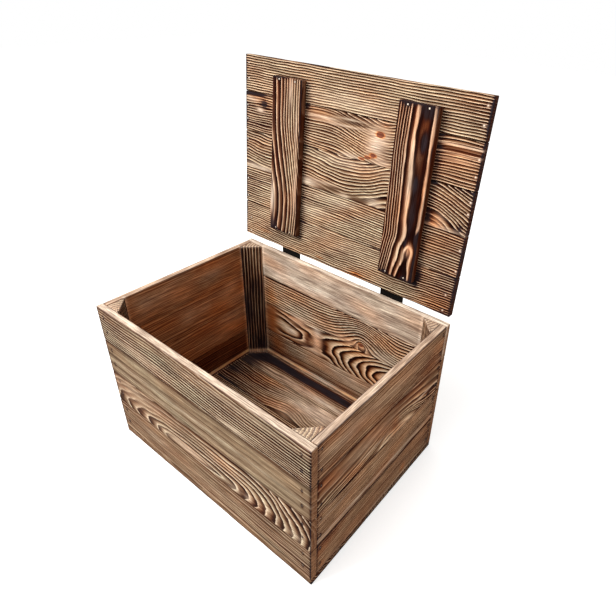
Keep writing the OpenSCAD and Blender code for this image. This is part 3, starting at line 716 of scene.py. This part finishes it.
def torched_pine(name, tint=(1.0, 1.0, 1.0), gloss=0.62):
    """Wood that reads figure, finish and fibre. `tint` multiplies the colour of this family of
    boards, and `gloss` is the roughness of its smooth parts."""
    finish, tree, shader = new_finish(name)
    figure, tones, fibre = (node(tree, "Attribute", attribute_name=label).outputs["Vector"]
                            for label in ("figure", "finish", "fibre"))
    rings, contrast, burn = node(tree, "SeparateXYZ", figure).outputs
    pale, warm, chance = node(tree, "SeparateXYZ", tones).outputs

    def fibres(along, across, detail):
        """Noise on the board's own place: `along` and `across` are its waves per metre."""
        scaled = node(tree, "VectorMath", fibre, (along, across, across), operation="MULTIPLY")
        return node(tree, "TexNoise", Vector=scaled.outputs[0], Scale=1.0, Detail=detail).outputs["Fac"]

    count = sums(tree, "ADD", rings, swing(tree, fibres(14, 130, 3), 0.34))
    phase = sums(tree, "FRACT", count)
    pair = node(tree, "CombineXYZ", sums(tree, "FLOOR", count), chance)
    each = node(tree, "TexWhiteNoise", pair.outputs[0], noise_dimensions="2D").outputs
    blotch, band, hair = fibres(16, 55, 3), fibres(4, 170, 2), fibres(10, 430, 2)
    streak, fine = fibres(26, 620, 3), fibres(80, 2300, 2)

    uneven = swing(tree, blotch, 0.9)
    burnt = sums(tree, "ADD", sums(tree, "ADD", burn, uneven), swing(tree, each["Value"], 0.34), clamp=True)
    lines = blend(tree, burnt, ramp(tree, phase, CLEAN), ramp(tree, phase, BURNT))
    calm = times(tree, blend(tree, burnt, CALM_CLEAN, CALM_BURNT), spread(tree, band, 0.3, 0.7, 0.74, 1.24))
    weight = spread(tree, each["Color"], 0, 1, 0.75, 1.2)
    colour = blend(tree, sums(tree, "MULTIPLY", contrast, weight), calm, lines)
    charred = sums(tree, "ADD", burn, sums(tree, "MULTIPLY", uneven, 0.6))
    charred = sums(tree, "ADD", charred, swing(tree, streak, 0.5))
    # where the burn runs past 1 the colour turns to char, whose blue-grey is partly painted sheen
    colour = blend(tree, spread(tree, charred, 1.0, 1.25, 0, 1), colour, CHAR_WITH_SHEEN)
    colour = times(tree, colour, tint)
    lit = times(tree, ARRIS_PALE, spread(tree, streak, 0.3, 0.75, 0.82, 1.05))
    colour = blend(tree, sums(tree, "MULTIPLY", pale, spread(tree, blotch, 0.3, 0.6, 0.8, 1)), colour, lit)
    colour = times(tree, colour, spread(tree, pale, 1.0, 1.5, 1.0, 1.3))
    colour = blend(tree, sums(tree, "MAXIMUM", warm, 0.0), colour, WARMER, "MULTIPLY")
    colour = blend(tree, spread(tree, warm, 1.0, 1.3, 0, 1), colour, HEART)
    greyed = times(tree, node(tree, "RGBToBW", colour).outputs[0], GREYER)
    colour = blend(tree, sums(tree, "MULTIPLY", warm, -0.6), colour, greyed)
    # Last the fibres: each noise, the two levels it is read between, and its darkest and lightest
    for noise, low, high, dark, light in ((hair, 0.30, 0.45, 0.74, 1.0), (blotch, 0.3, 0.7, 0.84, 1.14),
                                          (streak, 0.28, 0.74, 0.56, 1.36), (fine, 0.25, 0.75, 0.72, 1.26)):
        colour = times(tree, colour, spread(tree, noise, low, high, dark, light))
    feed(tree, shader["Base Color"], deepened(tree, colour))
    rough = spread(tree, streak, 0.3, 0.7, gloss + 0.1, gloss - 0.04)
    feed(tree, shader["Roughness"], sums(tree, "ADD", rough, sums(tree, "MULTIPLY", burn, 0.12)))
    height = sums(tree, "ADD", sums(tree, "MULTIPLY", ramp(tree, phase, RIDGE), contrast),
                  sums(tree, "MULTIPLY", streak, 0.5))
    feed(tree, shader["Normal"], node(tree, "Bump", Strength=0.55, Distance=0.0005, Height=height).outputs[0])
    shader["Specular IOR Level"].default_value = 0.02
    return finish


WOODS = {
    "wood_long_walls": torched_pine("pine_of_long_walls"),
    "wood_end_walls": torched_pine("pine_of_end_walls", (1.04, 0.91, 0.81)),
    "wood_floor": torched_pine("pine_of_floor", (1.0, 0.94, 0.88), 0.56),
    "wood_lid": torched_pine("pine_of_lid", (1.04, 1.0, 0.95)),
    "wood_posts": torched_pine("pine_of_posts", (1.0, 0.92, 0.84)),
    "wood_battens": torched_pine("pine_of_battens", (1.04, 0.92, 0.85), 0.5),
}
print(len(WOODS), "woods")

# %% [markdown]
# ## Where every board lies
# A board needs a corner to start from and three directions: s along it, w up its width, and d into
# the wood from the face that shows most. All of them come from the solids' own boxes. The lid
# stands open, turned about its hinge, so its boards are first measured as if it were shut, where
# they lie square, and their points are turned open again at the end.

# %% Places of the boards
hinge = frame["joints"][0]
HINGE_AT = np.array(hinge["pos_m"])
SHUT_TURN = math.radians(max(hinge["range_deg"], key=abs))


def turned(points, angle):
    """Points turned about the lid's hinge line, which runs along x: y and z mix by cosine and
    sine of the angle."""
    y, z = points[:, 1] - HINGE_AT[1], points[:, 2] - HINGE_AT[2]
    c, s = math.cos(angle), math.sin(angle)
    return np.column_stack([points[:, 0], HINGE_AT[1] + c * y - s * z, HINGE_AT[2] + s * y + c * z])


def solid_points(name):
    """The vertices of a solid of the frame, in metres."""
    mesh = frame["nodes"][name].data
    points = np.empty(len(mesh.vertices) * 3, np.float32)
    mesh.vertices.foreach_get("co", points)
    return points.reshape(-1, 3).astype(float)


X, Y, Z = np.eye(3)
# Directions of s, w and d, and the corner where they start: 0 is the box's low side, 1 its high one
LAYOUT = {
    "front": (X, Z, Y, (0, 0, 0)),
    "back": (X, Z, Y, (0, 0, 0)),
    "left": (Y, Z, -X, (1, 0, 0)),
    "right": (Y, Z, -X, (1, 0, 0)),
    "floor": (X, Y, -Z, (0, 0, 1)),
    "lid": (X, -Y, Z, (0, 1, 0)),
    "batten": (-Y, X, Z, (0, 1, 0)),
}


def board_place(name):
    """Start corner, directions and sizes (length, width, thickness in mm) of a board."""
    *axes, corner = LAYOUT[name.split("_")[0]]
    opened = name.startswith(("lid", "batten"))
    points = solid_points(name)
    if opened:
        points = turned(points, SHUT_TURN)
    low, high = points.min(0), points.max(0)
    size = (high - low) / MM
    return {"name": name, "start": np.where(corner, high, low), "axes": np.array(axes), "opened": opened,
            "size": [float(abs(axis @ size)) for axis in axes], "body": "lid" if opened else "box"}


def post_place(name):
    """The same for a corner post: s runs up, w along the long side, d into the corner."""
    low, high = solid_points(name).min(0), solid_points(name).max(0)
    right, back = "right" in name, "back" in name
    corner = np.where((right, back, False), high, low)
    leg = high[0] - low[0]
    one = corner - (leg if right else -leg) * X
    other = corner - (leg if back else -leg) * Y
    across, inward = other - one, corner - (one + other) / 2
    axes = np.array([Z, across / np.linalg.norm(across), inward / np.linalg.norm(inward)])
    return {"name": name, "start": one, "axes": axes, "opened": False,
            "size": [float((high[2] - low[2]) / MM), float(leg / MM)], "body": "box"}


def to_world(place, points):
    """(s, w, d) in mm to metres in the shared frame, turned open where the lid is meant."""
    spots = place["start"] + (points * MM) @ place["axes"]
    return turned(spots, -SHUT_TURN) if place["opened"] else spots


BOARDS = [name for name in frame["nodes"] if "_board_" in name or name in ("batten_left", "batten_right")]
POSTS = [name for name in frame["nodes"] if name.startswith("post_")]
PLACES = {name: board_place(name) for name in BOARDS}
POST_LEG = post_place(POSTS[0])["size"][1]
BOX_DEPTH = PLACES["left_board_1"]["size"][0] + 2 * PLACES["front_board_1"]["size"][2]
print(len(BOARDS), "boards and", len(POSTS), "posts")

# %% [markdown]
# ## Where the brads are
# A brad is a thin nail with a small head. Each wall board has two at each end, each batten two at
# each end, and along both ends of the lid they were set by eye, a little differently on each
# board. The same list makes the heads, the dents they lie in and the dark halo that the torch
# leaves around each one, so the three always agree.

# %% Brads of every board
# How far the brads are from a board's ends, their places across it, and the face they went in from
BRAD_ROWS = {
    "front": (17, (24, 56), 0), "back": (17, (24, 56), 1), "left": (8, (20, 60), 1),
    "right": (8, (20, 60), 0), "floor": (6.75, (18, 55), 1),
}
# The battens' brads: how far from the ends, and how far to each side of the batten's middle
BATTEN_END, BATTEN_SIDE = 4.5, 19
# The same for each lid board's own brads, then the places across of those into the battens
LID_ROWS = [(14, (8, 38), (50, 64)), (5, (12, 49), (18, 55)), (4, (37, 56), (18, 55)),
            (4.5, (22, 48), (18, 55)), (8, (23, 50), (12, 30))]
# Where the battens' middles lie from the lid's middle, and how far to each side their brads are
BATTEN_MIDDLES, LID_BRAD_SIDE = (-130.5, 139.5), 9.5


def brads_of(name, length, width):
    """Brads of one board as (s, w, face): face 0 is the show face and 1 the far one."""
    family, into_battens = name.split("_")[0], []
    if family == "lid":
        from_end, across, behind = LID_ROWS[int(name[-1]) - 1]
        face = 0
        middles = [length / 2 + middle for middle in BATTEN_MIDDLES]
        into_battens = [(middle + side, w, 1) for middle in middles
                        for side in (-LID_BRAD_SIDE, LID_BRAD_SIDE) for w in behind]
    elif family == "batten":
        from_end, across, face = BATTEN_END, (width / 2 - BATTEN_SIDE, width / 2 + BATTEN_SIDE), 0
    else:
        from_end, across, face = BRAD_ROWS[family]
    return [(s, w, face) for s in (from_end, length - from_end) for w in across] + into_battens


print("the lid's rear board has", len(brads_of("lid_board_1", 500, 73)), "brads")

# %% [markdown]
# ## Cutting the boards
# Now each board is put together: the shell's points, the ring count at every one of them, the
# grooves and dents pressed inward, never outward, so the board stays inside its solid, and the
# three vectors for the finish. Grooves fade out where rings are closer than the grid can carry;
# there the bump in the finish takes over.

# %% Painted batten shadow with soot, shelter and burnt edges
GROOVE = 0.35
DENT = 0.5
# How bright the brushed arrises are on the board's edges w = 0 and w = width, and at its ends
PALE_EDGES = {
    "front_board_4": (0, 0.9, 0), "back_board_4": (0, 1, 0), "left_board_4": (0, 0.6, 0),
    "right_board_4": (0, 0.72, 0),
}
# How far the torch bit into the long edges and the ends of each family of boards
EDGE_BURN = {
    "front": (0.6, 1.1), "right": (1.2, 0.8), "left": (0.12, 0.3), "back": (0.5, 0.7),
    "floor": (0.4, 0.7), "lid": (0.42, 1.0), "batten": (0.35, 0.4), "post": (0.3, 0.3),
}
# How dark the halo of a brad is, where that differs from the walls and the floor
HALO_BURN = {"lid": 0.55, "batten": 0.55}
WALL_HALO = 1.25
# How dark the sawn ends are that show outside, and the contrast and warmth they all have
SAWN_BURN = {"front": 0.34, "back": 0.34, "lid": 1.1}
SAWN_CONTRAST, SAWN_WARM = 0.15, 0.15
TOP_BURN, TOP_CONTRAST, TOP_PALE = 0.2, 0.9, 0.42
# A sawn face lies within this distance of the end, in mm
AT_END = 0.05
# How dark the sides of the floor boards are, as painted shade along the box's bottom, how burnt the sides of
# the battens are, and the outside of the left wall
FLOOR_FLANK_SHADE, BATTEN_FLANK, LEFT_OUTSIDE, LEFT_CONTRAST = 0.42, 0.85, 0.26, 0.85


def crowding(count, around, rows, step):
    """Rings per millimetre along the section walk, from the difference between neighbours. The
    middle lines at the end count as crowded."""
    grid = count[:around * rows].reshape(rows, around)
    dense = np.abs(np.roll(grid, -1, 1) - np.roll(grid, 1, 1)) / (2 * step)
    return np.concatenate([dense.ravel(), np.full(len(count) - around * rows, 9.0)])


def batten_shadow_and_soot(s, w, place):
    """Painted shadow of the battens, with some soot, on the lid along the right side of each batten and past
    its rear end: bell curves of the distance to the batten, each only as long as the side it follows."""
    total = 0
    for name in ("batten_left", "batten_right"):
        run, wide = PLACES[name]["size"][:2]
        start, rear = (PLACES[name]["start"][:2] - place["start"][:2]) / MM
        past, edge = w + rear, start + wide
        along = np.clip(past / 4, 0, 1) * np.clip((run - past) / 4, 0, 1)
        across = np.clip((s - start + 3) / 5, 0, 1) * np.clip((edge + 8 - s) / 5, 0, 1)
        total = total + 0.58 * along * fade(s - edge - 3, 11, 2) + 0.85 * across * fade(past + 3, 6, 2)
    return total


def from_walls(place, s, w):
    """How far inside the nearest wall or post a place on the floor is, in mm; under them it is
    less than 0."""
    length, _, thick = place["size"]
    half_x, half_y = length / 2 - thick, BOX_DEPTH / 2 - thick
    x, y = np.abs(s - length / 2), np.abs(w + place["start"][1] / MM)
    past_post = (half_x + half_y - POST_LEG - x - y) / math.sqrt(2)
    return np.minimum(np.minimum(half_x - x, half_y - y), past_post)


def sheltered(family, place, s, w):
    """How sheltered from the torch a place inside the box was. On the floor it falls as the bell
    curve of the distance to the nearest wall or post, on a wall with the distance to its post."""
    length, _, thick = place["size"]
    if family == "floor":
        away = np.maximum(from_walls(place, s, w), 0)
        return 0.5 * fade(away, 2, 2) * np.clip(0.25 + s / 160, 0, 1)
    from_post = np.minimum(s, length - s) - POST_LEG - (thick if family == "back" else 0)
    beside = 0.85 * fade(from_post - 1, 2.2, 2)
    return np.maximum(beside, 2.1 * fade(w - 9, 4.2, 4)) if place["name"].endswith("_1") else beside


print("burn of the front boards' edges and ends:", EDGE_BURN["front"])

# %% Surface of one board


def pressed(place, points, side, dense, count, tree, dents):
    """How deep the brush's grooves and the dents press each point in, and the dark halo of the
    brads there. Over nine tenths of a ring a groove goes as half of (1 - cosine), a full turn."""
    s, w, d = points.T
    thick = d.max()
    carried = np.clip((0.34 - dense) / 0.14, 0, 1) * side * tree["contrast"]
    press = GROOVE * carried * 0.5 * (1 - np.cos(2 * np.pi * np.clip(count % 1.0 / 0.9, 0, 1)))
    halo = np.zeros(len(s))
    for at_s, at_w, far in dents:
        near = np.hypot(s - at_s, w - at_w)
        on_face = (d > thick * 0.7) if far else (d < thick * 0.3)
        press = press + DENT * side * on_face * fade(near, 2.4, 2)
        on_lid = place["name"].startswith("lid")
        mark = near / 3.6 if on_lid else np.hypot((s - at_s) / 2.2, (w - at_w) / 4.4)
        halo = halo + on_face * fade(mark, 1, 2)
    return press, halo


def torched(place, points, halo, tree, edges):
    """Contrast, burn, pale and warm at every point. It starts from the board's own tones, then come its edges
    and ends, what its place in the box did to it, and the patches of its tree. Burn also holds painted shade:
    the battens' shadow on the lid and the dark line along the box's bottom. The left wall's inside is paler
    and warmer as painted light."""
    s, w, d = points.T
    family, seed = place["name"].split("_")[0], tree["seed"]
    length, width, thick = place["size"][0], w.max(), d.max()
    to_edge, to_end, to_side = np.minimum(w, width - w), np.minimum(s, length - s), np.minimum(d, thick - d)
    facing = np.clip(1.25 - d / (0.5 * thick), 0, 1)
    if family == "floor":
        facing = facing * np.clip(from_walls(place, s, w), 0, 1)
    bite_edge, bite_end = EDGE_BURN[family]
    swell = 0.10 * drift(s, w, seed + 100, 190, 110)
    burn = tree["burn"] + swell + HALO_BURN.get(family, WALL_HALO) * halo
    burn += bite_edge * fade(to_edge, 1.3) * (0.3 + 0.7 * fade(to_side, 1.5))
    burn += bite_end * fade(to_end, 1.9) * (0.35 + 0.65 * fade(to_side, 1.2)) + 0.2 * fade(to_end, 30)
    pale = edges[0] * fade(w, 0.9) + edges[1] * fade(width - w, 0.9) + edges[2] * fade(to_end, 1.2)
    warm = tree["warm"] + 0.22 * drift(s, w, seed + 200, 170, 90)
    contrast = np.full(len(s), tree["contrast"])
    if family == "floor":
        # the floor boards' sides, the edges of their underside and the notches between their ends are
        # darkened: painted shade along the bottom of the box, where it rests
        under = fade(thick - d, 2) * (fade(to_edge, 1.5) + fade(to_end, 1.5))
        notch = fade(to_end, 2) * fade(to_edge, 4.5, 2) * np.clip(2 * d / thick - 0.6, 0, 1)
        flank = fade(to_edge, 0.8, 2)
        burn += (FLOOR_FLANK_SHADE - burn) * flank + 0.9 * under + 1.4 * notch
        contrast *= 1 - 0.8 * flank
        warm -= (0.6 + warm) * flank
    if family == "left":
        # the inside faces keep their trees' values, made paler and warmer as painted light; the outside gets
        # a plain burn
        outside = LEFT_OUTSIDE + 0.07 * (seed % 4) + swell
        burn, warm, contrast = (np.where(facing > 0, inside, out) for inside, out in
                                ((burn, outside), (warm, 0), (contrast, LEFT_CONTRAST)))
    if family == "lid":
        # a pale, warmer spot at each brad near the lid's right end
        brad_pale_spot = facing * halo**3 * (s > 0.9 * length)
        # painted shadow of the battens, with some soot, darkens the lid beside and below them
        burn += facing * batten_shadow_and_soot(s, w, place)
        pale += 0.9 * brad_pale_spot
        warm += 0.4 * brad_pale_spot
    if family in ("floor", "back", "left"):
        lean = facing * sheltered(family, place, s, w)
        if family == "back":
            lean *= np.clip(to_end - thick, 0, 1)
        pale += lean
        warm += 0.2 * lean
    burn += facing * painted(s, w, tree["chars"])
    pale += facing * painted(s, w, tree["pales"])
    warm += facing * painted(s, w, tree["warms"])
    if edges[1]:
        rim = fade(np.hypot(width - w, to_side), 1.3, 2)
        burn += 1.2 * rim
        pale *= 1 - 0.8 * rim
        warm *= np.clip((width - w) / 3, 0, 1)
    burn -= 0.9 * np.clip(pale, 0, 1)
    contrast *= 1 - 0.75 * np.clip(pale, 0, 1)
    if family == "batten":
        flank = fade(to_edge, 0.7)
        contrast *= 1 - 0.9 * flank
        burn += (BATTEN_FLANK - burn) * flank
    for patch in tree["calms"]:
        contrast *= 1 - patch[4] * spot(s, w, patch)
    for patch in tree["eyes"]:
        eye = facing * spot(s, w, patch, 3)
        contrast *= 1 - eye
        pale *= 1 - eye
        warm += (2 * patch[4] - warm) * eye
    if family in SAWN_BURN:
        sawn = to_end < AT_END
        burn[sawn], contrast[sawn], warm[sawn] = SAWN_BURN[family], SAWN_CONTRAST, SAWN_WARM
    if family == "post":
        top = s > length - AT_END
        burn[top], contrast[top], pale[top] = TOP_BURN, TOP_CONTRAST, TOP_PALE
    return contrast, np.clip(burn, 0, 1.3), np.clip(pale, 0, 1.5), np.clip(warm, -1, 2)


def dress(place, walk, dents, tree, edges, wood):
    """Makes the piece of one board or post: shell, grooves, dents and the three vectors."""
    rows = stations(place["size"][0], dents)
    points, outward, side = shell_points(walk, rows)
    count = ring_count(*points.T, tree)
    dense = crowding(count, len(walk[0]), len(rows), FACE_STEP)
    press, halo = pressed(place, points, side, dense, count, tree, dents)
    moved = points.copy()
    moved[:, 1:] -= press[:, None] * outward
    quads, triangles = shell_faces(len(rows), len(walk[0]), len(walk[2]), walk[3])
    if np.linalg.det(place["axes"]) < 0:
        quads, triangles = quads[:, ::-1], triangles[:, ::-1]
    piece = new_piece(place["name"] + "_wood", to_world(place, moved), quads, triangles, WOODS[wood],
                      place["body"])
    contrast, burn, pale, warm = torched(place, points, halo, tree, edges)
    seed = tree["seed"]
    vectors = {
        "figure": np.column_stack([count, contrast, burn]),
        "finish": np.column_stack([pale, warm, np.full(len(count), (seed * 0.137) % 1.0)]),
        "fibre": points * MM + np.array([seed * 0.731, seed * 0.413, seed * 0.257]),
    }
    for label, values in vectors.items():
        layer = piece.data.attributes.new(label, "FLOAT_VECTOR", "POINT")
        layer.data.foreach_set("vector", values.astype(np.float32).ravel())
    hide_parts(place["name"])
    return piece


WOOD_OF = {
    "front": "wood_long_walls", "back": "wood_long_walls", "left": "wood_end_walls",
    "right": "wood_end_walls", "floor": "wood_floor", "lid": "wood_lid", "batten": "wood_battens",
}
faces = 0
for name in BOARDS:
    place = PLACES[name]
    length, width, thick = place["size"]
    made = dress(place, board_walk(width, thick), brads_of(name, length, width), TREES[name],
                 PALE_EDGES.get(name, (0, 0, 0)), WOOD_OF[name.split("_")[0]])
    faces += len(made.data.polygons)
print(len(BOARDS), "boards cut,", faces, "faces")

# %% [markdown]
# ## Corner posts
# Four triangular posts stand in the corners. They were charred until nearly black, so only thin
# paler streaks run up them, while their sawn tops stayed pale and show the rings end on. They are
# the same kind of shell as a board, with a triangle for a section.

# %% Posts
for name in POSTS:
    place = post_place(name)
    made = dress(place, post_walk(place["size"][1]), [], TREES[name], (0.35, 0.35, 0.9), "wood_posts")
    faces += len(made.data.polygons)
print(len(POSTS), "posts, now", faces, "faces")

# %% [markdown]
# ## Brad heads
# The heads are small domed discs with a short shank, one turned profile copied to every place in
# the list above. The far end of a brad is inside the wood and never seen, so the profile stops
# where the shank does, closed by a point at both ends.

# %% Brads


def metal(name, base, rough, metallic, worn):
    """Steel: fine specks change its colour towards `worn` and its roughness, on Object
    coordinates, with a faint bump from the same specks."""
    finish, tree, shader = new_finish(name)
    place = node(tree, "TexCoord").outputs["Object"]
    specks = node(tree, "TexNoise", place, Scale=900.0, Detail=4.0).outputs["Fac"]
    patches = node(tree, "TexNoise", place, Scale=120.0, Detail=3.0).outputs["Fac"]
    colour = blend(tree, spread(tree, patches, 0.5, 0.72, 0, 1), base, worn)
    feed(tree, shader["Base Color"], times(tree, colour, spread(tree, specks, 0.3, 0.7, 0.8, 1.2)))
    feed(tree, shader["Roughness"], spread(tree, specks, 0.3, 0.7, rough - 0.06, rough + 0.1))
    feed(tree, shader["Normal"], node(tree, "Bump", Strength=0.25, Distance=0.0001, Height=specks).outputs[0])
    shader["Metallic"].default_value = metallic
    shader["Specular IOR Level"].default_value = 0.1
    return finish


def turned_copies(name, profile, sides, places, finish, body):
    """A profile of (radius, height) stops spun about its axis with `sides` steps, copied to each
    place given as (point, outward direction). The profile starts and ends on the axis."""
    profile = np.array(profile, float) * MM
    inner = profile[1:-1]
    angle = np.arange(sides) * 2 * np.pi / sides
    ring = np.column_stack([np.cos(angle), np.sin(angle)])
    disc = (inner[:, 0, None, None] * ring[None]).reshape(-1, 2)
    poles = [[0, 0, profile[0, 1]], [0, 0, profile[-1, 1]]]
    local = np.concatenate([np.column_stack([disc, np.repeat(inner[:, 1], sides)]), poles])
    quads, triangles = shell_faces(len(inner), sides, 1, np.zeros(sides, int))
    points, out = (np.array(part, float) for part in zip(*places))
    side_a = np.cross(np.where(np.abs(out[:, 2:3]) > 0.9, X, Z), out)
    side_a /= np.linalg.norm(side_a, axis=1)[:, None]
    base = np.stack([side_a, np.cross(out, side_a), out], axis=1)
    vertices = np.einsum("vk,nkj->nvj", local, base) + points[:, None, :]
    offset = (np.arange(len(points)) * len(local))[:, None, None]
    return new_piece(name, vertices.reshape(-1, 3), (quads[None, :, ::-1] + offset).reshape(-1, 4),
                     (triangles[None, :, ::-1] + offset).reshape(-1, 3), finish, body)


BRIGHT = metal("bright_wire", (0.74, 0.62, 0.50), 0.5, 0.4, (0.40, 0.28, 0.20))
DULL = metal("scorched_wire", (0.11, 0.075, 0.055), 0.55, 0.3, (0.34, 0.24, 0.17))
BLACK = metal("blackened_hinge", (0.003, 0.003, 0.003), 0.5, 0.0, (0.009, 0.008, 0.008))
HEAD_SUNK = 0.15
HEAD_SIDES = 14


def brad_profile(length):
    """Domed head of 1.5 mm radius, a flat underside, and a thin shank that ends in a point."""
    return [(0, 0), (0.6, -0.03), (1.15, -0.14), (1.45, -0.32), (1.5, -0.5), (1.4, -0.75), (0.8, -0.95),
            (0.8, -length + 1.5), (0, -length)]


def brad_spots(families, faces):
    """World place and outward direction of every brad that goes into these boards on one of the
    faces."""
    found = []
    for name in BOARDS:
        place = PLACES[name]
        length, width, thick = place["size"]
        if not name.startswith(families):
            continue
        for s, w, far in brads_of(name, length, width):
            if far in faces:
                heights = (thick - HEAD_SUNK, thick, thick / 2) if far else (HEAD_SUNK, 0, thick / 2)
                head, top, inside = to_world(place, np.array([[s, w, d] for d in heights]))
                found.append((head, (top - inside) / np.linalg.norm(top - inside)))
    return found


# Piece, the node it replaces, its boards, the faces its brads go in from, their length and finish.
# The lid has long brads into the battens from outside and short ones along its ends from inside.
BRADS = [
    ("wall_brads_turned", "wall_brads", ("front", "back", "left", "right"), (0, 1), 29.8, DULL, "box"),
    ("floor_brads_turned", "floor_brads", ("floor",), (0, 1), 29.8, DULL, "box"),
    ("batten_brads_turned", "batten_brads", ("batten",), (0, 1), 23.8, BRIGHT, "lid"),
    ("lid_brads_outer", "lid_brads", ("lid",), (1,), 23.8, BRIGHT, "lid"),
    ("lid_brads_ends", "lid_brads", ("lid",), (0,), 11.8, BRIGHT, "lid"),
]
for piece, replaced, families, faces, length, finish, body in BRADS:
    spots = brad_spots(families, faces)
    heads = turned_copies(piece, brad_profile(length), HEAD_SIDES, spots, finish, body)
    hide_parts(replaced)
    print(piece, len(spots), "brads")

# %% [markdown]
# ## Hinges
# Two black butt hinges stand behind the lid. Their leaves, knuckles and pins have exact solids
# already, with the rolled knuckles and the screw holes cut, so they keep their solids and only get
# their black finish.

# %% Hinge finish
for name, solid in frame["nodes"].items():
    if name.startswith("hinge_"):
        solid.data.materials.clear()
        solid.data.materials.append(BLACK)
print("hinges are black")

# %% [markdown]
# ## Settings
# The picture is shown as it is computed, with no film look.

# %% Finish
bpy.context.scene.view_settings.view_transform = "Standard"
bpy.context.view_layer.update()
